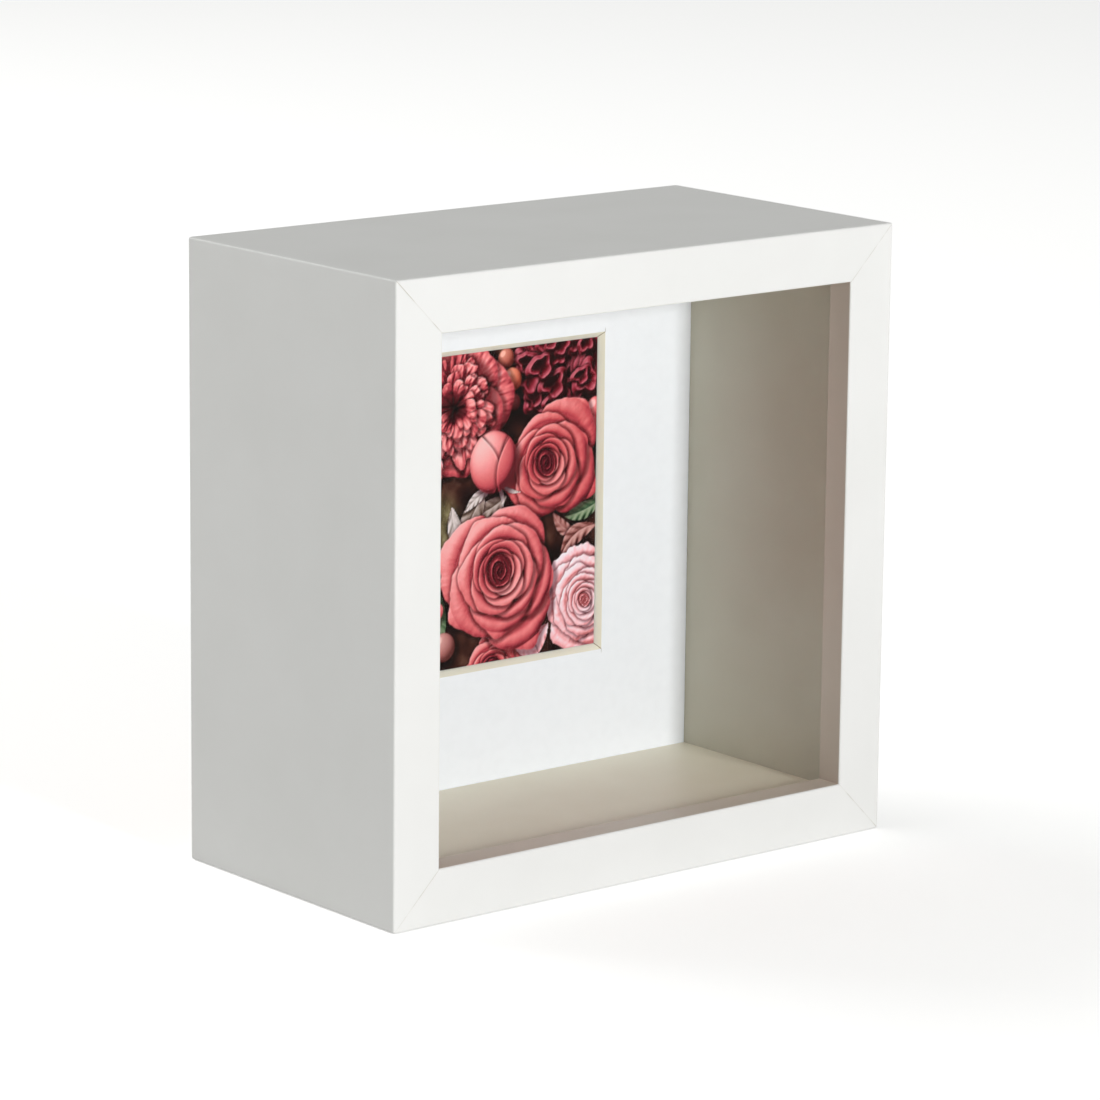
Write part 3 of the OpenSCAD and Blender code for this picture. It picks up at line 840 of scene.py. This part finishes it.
def matt_print_paper():
    """Matt inkjet paper, IOR 1.4: the colour comes from the painted grid, under a faint paper tooth."""
    made, tree, place = new_material("matt_print_paper")
    surface(tree, {
        "Base Color": attribute(tree, "ink")["Color"], "Roughness": 0.62, "IOR": 1.4,
        "Specular IOR Level": 0.2,
    }, patches(tree, place, 2200.0, 3.0), 0.15, 0.03 * MM)
    return made


def print_lines(low, high, middle, half):
    """Grid lines across the print, in millimetres: fine ones over the sight, and one at each edge."""
    count = int(round(2 * half / PRINT_CELL))
    return np.concatenate([[low], np.linspace(middle - half, middle + half, count + 1), [high]])


across = print_lines(PRINT_LOW.x / MM, PRINT_HIGH.x / MM, 0.0, SIGHT_HALF_WIDTH)
upwards = print_lines(PRINT_LOW.z / MM, PRINT_HIGH.z / MM, WINDOW_Z / MM, SIGHT_HALF_HEIGHT)
print_x, print_z = np.meshgrid(across, upwards)
inks = to_linear(paint_flowers(print_x, print_z))
rows, columns = print_x.shape
sheet_front = np.stack([print_x * MM, np.full_like(print_x, PRINT_LOW.y), print_z * MM], axis=-1)
sheet_front = sheet_front.reshape(-1, 3)
cell = (np.arange(rows - 1)[:, None] * columns + np.arange(columns - 1)[None, :]).ravel()
sheet_faces = np.stack([cell, cell + 1, cell + columns + 1, cell + columns], axis=-1).tolist()
# The back of the sheet is one face, joined to the grid's border by a fan of edge faces
border = np.concatenate([
    np.arange(columns), np.arange(1, rows) * columns + columns - 1,
    (rows - 1) * columns + np.arange(columns - 2, -1, -1), np.arange(rows - 2, 0, -1) * columns,
])
back_start = len(sheet_front)
sheet_back = sheet_front[border] + (0, PRINT_HIGH.y - PRINT_LOW.y, 0)
rim = np.arange(len(border))
rim_next = (rim + 1) % len(border)
sheet_faces += np.stack([border[rim_next], border, back_start + rim, back_start + rim_next], axis=-1).tolist()
sheet_faces.append((back_start + rim[::-1]).tolist())
flower_print = make_piece(
    "flower_print", (np.concatenate([sheet_front, sheet_back]), sheet_faces), "back", [matt_print_paper()],
    ["art_print"],
)
ink_values = np.ones((len(sheet_front) + len(sheet_back), 4), np.float32)
ink_values[:back_start, :3] = inks.reshape(-1, 3)
ink_layer = flower_print.data.color_attributes.new("ink", "FLOAT_COLOR", "POINT")
ink_layer.data.foreach_set("color", ink_values.ravel())

# ----------------------------------------------------------
# Backing board, battens and back panel: foam board, planed pine and brown hardboard.
# The battens stand between the board and the panel, pinned through the panel from behind.
# ----------------------------------------------------------


def foam_board():
    """White foam board, IOR 1.45: smooth clay-coated paper with a trace of the foam's cells under it."""
    made, tree, place = new_material("foam_board")
    cells = add_node(tree, "ShaderNodeTexVoronoi", {"Vector": place, "Scale": 1800.0}).outputs["Distance"]
    tone = blend(tree, cells, "#F0EEE8", "#E6E2D6")
    surface(tree, {"Base Color": tone, "Roughness": 0.6, "IOR": 1.45}, cells, 0.1, 0.05 * MM)
    return made


RING_SPACING = 2.4 * MM
PITH_DEPTH = -22 * MM
PITH_ASIDE = 160 * MM


def planed_pine(name, level):
    """Planed pine, IOR 1.5, unfinished: growth rings about a pith that lies outside the batten, so that they
    are arcs on its ends and lines along its length. Each ring darkens slowly from early to late wood."""
    made, tree, place = new_material(name)
    pith = (0.0, PITH_DEPTH, PITH_ASIDE) if level else (PITH_ASIDE, PITH_DEPTH, 0.0)
    squeeze = (0.05, 1.0, 1.0) if level else (1.0, 1.0, 0.05)
    moved = add_node(tree, "ShaderNodeVectorMath", {0: place, 1: pith}, operation="SUBTRACT")
    along = add_node(tree, "ShaderNodeVectorMath", {0: moved.outputs[0], 1: squeeze}, operation="MULTIPLY")
    rings = add_node(tree, "ShaderNodeTexWave", {
        "Vector": along.outputs[0], "Scale": 2 * pi / (20 * RING_SPACING), "Distortion": 5.0, "Detail": 2.0,
        "Detail Scale": 0.35,
    }, wave_type="RINGS", rings_direction="X" if level else "Z", wave_profile="SAW")
    late = maths(tree, "POWER", rings.outputs["Fac"], 2.2)
    colour = blend(tree, late, "#E4C998", "#BE945C")
    surface(tree, {"Base Color": colour, "Roughness": 0.62, "IOR": 1.5}, late, 0.2, 0.06 * MM)
    return made


def hardboard():
    """Pressed fibreboard, IOR 1.5: warm brown, flecked with lighter and darker fibres about 1 mm long."""
    made, tree, place = new_material("hardboard")
    fibre = patches(tree, place, 1100.0, 4.0, Roughness=0.7, Distortion=1.2)
    fleck = blend(tree, carry(tree, fibre, 0.32, 0.68), "#6F4A2C", "#B58A5E")
    dull = carry(tree, patches(tree, place, 28.0, 4.0), 0.3, 0.7, 0.0, 0.4)
    colour = blend(tree, dull, fleck, "#845A37")
    surface(tree, {"Base Color": colour, "Roughness": 0.55, "IOR": 1.5}, fibre, 0.35, 0.08 * MM)
    return made


finish_node("backing_board", foam_board())
level_pine = planed_pine("planed_pine_level", True)
upright_pine = planed_pine("planed_pine_upright", False)
for side in TURNS:
    finish_node(f"{side}_batten", level_pine if side in LEVEL_SIDES else upright_pine)
finish_node("back_panel", hardboard())

# ----------------------------------------------------------
# Steel fixings: V nails across the mitres, pins in the battens, turn buttons, straps, rings and screws.
# The nails and pins are bare steel. The rest is stamped, headed or drawn, and bright with zinc plating.
# ----------------------------------------------------------


def steel(name, base, roughness):
    """Plated or bare steel: metallic and bluish, with fine tumbling scratches and dull clouds."""
    made, tree, place = new_material(name)
    cloud = patches(tree, place, 330.0, 3.0)
    dull = carry(tree, cloud, 0.3, 0.7, roughness - 0.06, roughness + 0.12)
    surface(tree, {
        "Base Color": blend(tree, cloud, base, "#B2B7BA"), "Metallic": 1.0, "Roughness": dull,
    }, patches(tree, place, 2600.0, 3.0), 0.12, 0.02 * MM)
    return made


plating = steel("bright_zinc", "#D6DADC", 0.3)
finish_node("left_hanger_strap", plating)
finish_node("right_hanger_strap", plating)
raw_steel = steel("bare_steel", "#A6A8AA", 0.42)
finish_node("batten_pins", raw_steel)

NAIL_LEG = 4.2 * MM
NAIL_GAUGE = 0.6 * MM
NAIL_DEPTH = 10 * MM
NAIL_OFFSETS = (3.6 * MM, 8 * MM)
NAIL_PROUD = 0.08 * MM


def join_shells(shells):
    """One list of vertices and one of faces from several (vertices, faces)."""
    vertices, faces = [], []
    for points, polygons in shells:
        start = sum(len(part) for part in vertices)
        vertices.append(points)
        faces += [[start + index for index in polygon] for polygon in polygons]
    return np.concatenate(vertices), faces


def v_nail(offset, turn):
    """An angle of sheet steel driven in across a mitre, its legs along the two sides and its end just proud
    of the rear edge."""
    bend = NAIL_GAUGE * sqrt(2)
    outline = np.array([
        (0, 0), (NAIL_LEG, 0), (NAIL_LEG, NAIL_GAUGE), (bend, NAIL_GAUGE),
        (bend, bend), (NAIL_GAUGE, bend), (NAIL_GAUGE, NAIL_LEG), (0, NAIL_LEG),
    ])
    rings = np.array([
        [(offset - SIZE / 2 + x, depth, offset + z) for x, z in outline]
        for depth in (REAR - NAIL_DEPTH, REAR + NAIL_PROUD)
    ])
    return skin(turned(rings, turn))


make_piece(
    "v_nails", join_shells([v_nail(offset, turn) for turn in TURNS.values() for offset in NAIL_OFFSETS]),
    "frame", [raw_steel], ["corner_v_nails"],
)

BUTTON_LOW, BUTTON_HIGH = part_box("bottom_turn_button")
BUTTON_RADIUS = (BUTTON_HIGH.z - BUTTON_LOW.z) / 2
BUTTON_REACH = BUTTON_HIGH.x - BUTTON_RADIUS
BUTTON_EDGE = 0.25 * MM
RIB_START = 6.5 * MM
RIB_END = 14 * MM
RIB_RISE = 0.45 * MM


def turn_button(side):
    """A stamped plate. Its outline is two half circles joined by straight sides, and its rings shrink from
    the outline towards the line between the two middles: underside, rounded edge, top. A rib is pressed up
    along that line, and falls off with the distance from it."""
    arc = np.linspace(-pi / 2, pi / 2, 17)
    straight = np.linspace(0, 1, 30)[1:-1, None]
    tip = np.stack([BUTTON_REACH + BUTTON_RADIUS * np.cos(arc), BUTTON_RADIUS * np.sin(arc)], axis=1)
    heel = np.stack([-BUTTON_RADIUS * np.cos(arc), -BUTTON_RADIUS * np.sin(arc)], axis=1)
    outline = np.concatenate([
        tip, tip[-1] + straight * (heel[0] - tip[-1]), heel, heel[-1] + straight * (tip[0] - heel[-1]),
    ])
    middle = np.stack([np.clip(outline[:, 0], 0, BUTTON_REACH), np.zeros(len(outline))], axis=1)
    thickness = BUTTON_HIGH.y - BUTTON_LOW.y
    turn = np.linspace(0, pi / 2, 5)
    edge = BUTTON_EDGE / BUTTON_RADIUS
    inner = np.linspace(edge, 0.97, 17)[1:]
    shrink = np.concatenate([[0.97, 0.5 * edge, 0, 0], edge * (1 - np.cos(turn)), inner])
    depth = np.concatenate([
        [0, 0, 0.5 * BUTTON_EDGE, thickness - 1.5 * BUTTON_EDGE],
        thickness - BUTTON_EDGE * (1 - np.sin(turn)), np.full_like(inner, thickness),
    ])
    loops = outline + shrink[:, None, None] * (middle - outline)
    along, over = loops[..., 0], loops[..., 1]
    off_rib = np.hypot(along - np.clip(along, RIB_START, RIB_END), over)
    rib = RIB_RISE * ease(2.1 * MM, 0.7 * MM, off_rib) * (depth[:, None] >= thickness)
    rings = np.stack([along, BUTTON_LOW.y + depth[:, None] + rib, WALL / 2 + over], axis=-1)
    make_piece(
        f"{side}_button_plate", skin(turned(rings, TURNS[side])), f"{side}_button", [plating],
        [f"{side}_turn_button"],
    )


for side in TURNS:
    turn_button(side)


# Radius and rise of a head, and half the width of its slots
BUTTON_HEAD = (2.9 * MM, 1.6 * MM, 0.42 * MM)
HANGER_HEAD = (2.3 * MM, 1.2 * MM, 0.36 * MM)


def screw_heads(name, places, seat, head, replaced):
    """Pan-head screws that stand on a seat at (x, z, twist), each a grid of rings and spokes whose height is
    the pan rise sqrt(1 - 0.8 (r/R)^2) less the recess, which is two crossed slots of half width cross with
    sloping walls. A flat underside closes the head."""
    radius, rise, cross = head
    rings_r = np.concatenate([np.linspace(0.04, 0.93, 22), [0.98, 1.0, 1.0, 0.5]]) * radius
    spokes = np.linspace(0, 2 * pi, 64, endpoint=False)
    r = rings_r[:, None]
    u, v = r * np.cos(spokes), r * np.sin(spokes)
    pan = rise * np.sqrt(np.clip(1 - 0.8 * (r / radius) ** 2, 0, 1)) * np.ones_like(u)
    slot_u = ease(0.62 * radius, 0.5 * radius, np.abs(u)) * ease(cross * 1.35, cross, np.abs(v))
    slot_v = ease(0.62 * radius, 0.5 * radius, np.abs(v)) * ease(cross * 1.35, cross, np.abs(u))
    recess = 0.85 * rise * np.maximum(slot_u, slot_v) * ease(0.62 * radius, 0.1 * radius, r) ** 0.5
    height = pan - recess
    height[-3] = 0.3 * rise
    height[-2:] = 0.0
    heads = []
    for x, z, twist in places:
        turn_u = u * cos(twist) - v * sin(twist)
        turn_v = u * sin(twist) + v * cos(twist)
        heads.append(skin(np.stack([x + turn_u, seat + height, z + turn_v], axis=-1)))
    make_piece(name, join_shells(heads), "frame", [plating], replaced, 30)


BUTTON_PIVOT = SIZE / 2 - WALL / 2
screw_heads(
    "button_screw_heads",
    [(0, MIDDLE_Z - BUTTON_PIVOT, 0.4), (0, MIDDLE_Z + BUTTON_PIVOT, 1.1),
     (-BUTTON_PIVOT, MIDDLE_Z, 0.1), (BUTTON_PIVOT, MIDDLE_Z, 0.8)],
    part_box("turn_button_screws")[1].y - BUTTON_HEAD[1], BUTTON_HEAD, ["turn_button_screws"],
)
HANGER_X, LOOP_Y, HANGER_HEIGHT = frame["joints"][-1]["pos_m"]
HANGER_SCREW_Z = HANGER_HEIGHT - 4.6 * MM
STRAP_GAUGE = 0.8 * MM
screw_heads(
    "hanger_screw_heads", [(-HANGER_X, HANGER_SCREW_Z, 0.6), (HANGER_X, HANGER_SCREW_Z, 0.2)],
    REAR + STRAP_GAUGE, HANGER_HEAD, ["hanger_screws"],
)

RING_WIRE = 0.8 * MM
RING_HALF = 3.8 * MM
RING_LEG = 4.2 * MM
RING_BEND = 0.9 * MM


def hanger_ring(side, sign):
    """A D of drawn wire, on the left (-1) or the right (1): a circle carried round a loop made of the
    straight bar, two bent corners, two legs and a half circle. At each station the circle lies square to
    the loop, which stays in one plane."""
    quarter = np.linspace(0, pi / 2, 7)
    half = np.linspace(0, pi, 25)
    corner = RING_HALF - RING_BEND
    left = np.stack([-corner - RING_BEND * np.sin(quarter), -RING_BEND + RING_BEND * np.cos(quarter)], axis=1)
    bow = np.stack([-RING_HALF * np.cos(half), -RING_LEG - RING_HALF * np.sin(half)], axis=1)
    right = np.stack([corner + RING_BEND * np.cos(quarter), -RING_BEND + RING_BEND * np.sin(quarter)], axis=1)
    path = np.concatenate([left, bow, right])
    tangent = np.roll(path, -1, axis=0) - np.roll(path, 1, axis=0)
    tangent /= np.linalg.norm(tangent, axis=1, keepdims=True)
    normal = np.stack([-tangent[:, 1], tangent[:, 0]], axis=1)
    turn = np.linspace(0, 2 * pi, 16, endpoint=False)[None, :]
    x = sign * HANGER_X + path[:, :1] + RING_WIRE * np.cos(turn) * normal[:, :1]
    z = HANGER_HEIGHT + path[:, 1:] + RING_WIRE * np.cos(turn) * normal[:, 1:]
    y = LOOP_Y + RING_WIRE * np.sin(turn) * np.ones_like(x)
    make_piece(
        f"{side}_wire_ring", skin(np.stack([x, y, z], axis=-1), looped=True), f"{side}_ring", [plating],
        [f"{side}_hanger_ring"], 60,
    )


hanger_ring("left", -1)
hanger_ring("right", 1)

# ----------------------------------------------------------
# Bumpers: four domes of clear soft polyurethane, stuck on the rear edge to keep the box off the wall.
# They are milky where they are thick, and their faces that meet the wall are flat.
# ----------------------------------------------------------
BUMPER_RADIUS = 4.5 * MM
BUMPER_SPREAD = 88 * MM


def soft_clear_rubber():
    """Cast polyurethane, IOR 1.49: soft gloss, milky and slightly see-through, with light dust on it."""
    made, tree, place = new_material("clear_polyurethane")
    dust = patches(tree, place, 900.0, 4.0)
    surface(tree, {
        "Base Color": blend(tree, dust, "#E9ECEA", "#CDD1CF"), "IOR": 1.49,
        "Roughness": carry(tree, dust, 0.3, 0.7, 0.22, 0.4),
        "Subsurface Weight": 0.35, "Subsurface Radius": (1.0, 1.0, 1.0), "Subsurface Scale": 2 * MM,
    })
    return made


def bumper_rings(x, z):
    """A low dome turned about Y: a straight skirt, then an elliptical shoulder up to the flat crown."""
    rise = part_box("wall_bumpers")[1].y - REAR
    shoulder = np.linspace(0, pi / 2, 9)
    radius = np.concatenate([[0.05, 0.97, 1.0], 0.55 + 0.45 * np.cos(shoulder), [0.3, 0.05]]) * BUMPER_RADIUS
    height = np.concatenate([[0.0, 0.0, 0.06], 0.15 + 0.85 * np.sin(shoulder), [1.0, 1.0]]) * rise
    spokes = np.linspace(0, 2 * pi, 40, endpoint=False)
    over = radius[:, None] * np.cos(spokes)
    up = radius[:, None] * np.sin(spokes)
    return np.stack([x + over, np.broadcast_to(REAR + height[:, None], over.shape), z + up], axis=-1)


bumpers = [
    skin(bumper_rings(x, z)) for x in (-BUMPER_SPREAD, BUMPER_SPREAD) for z in (WALL / 2, SIZE - WALL / 2)
]
make_piece("clear_bumpers", join_shells(bumpers), "frame", [soft_clear_rubber()], ["wall_bumpers"])
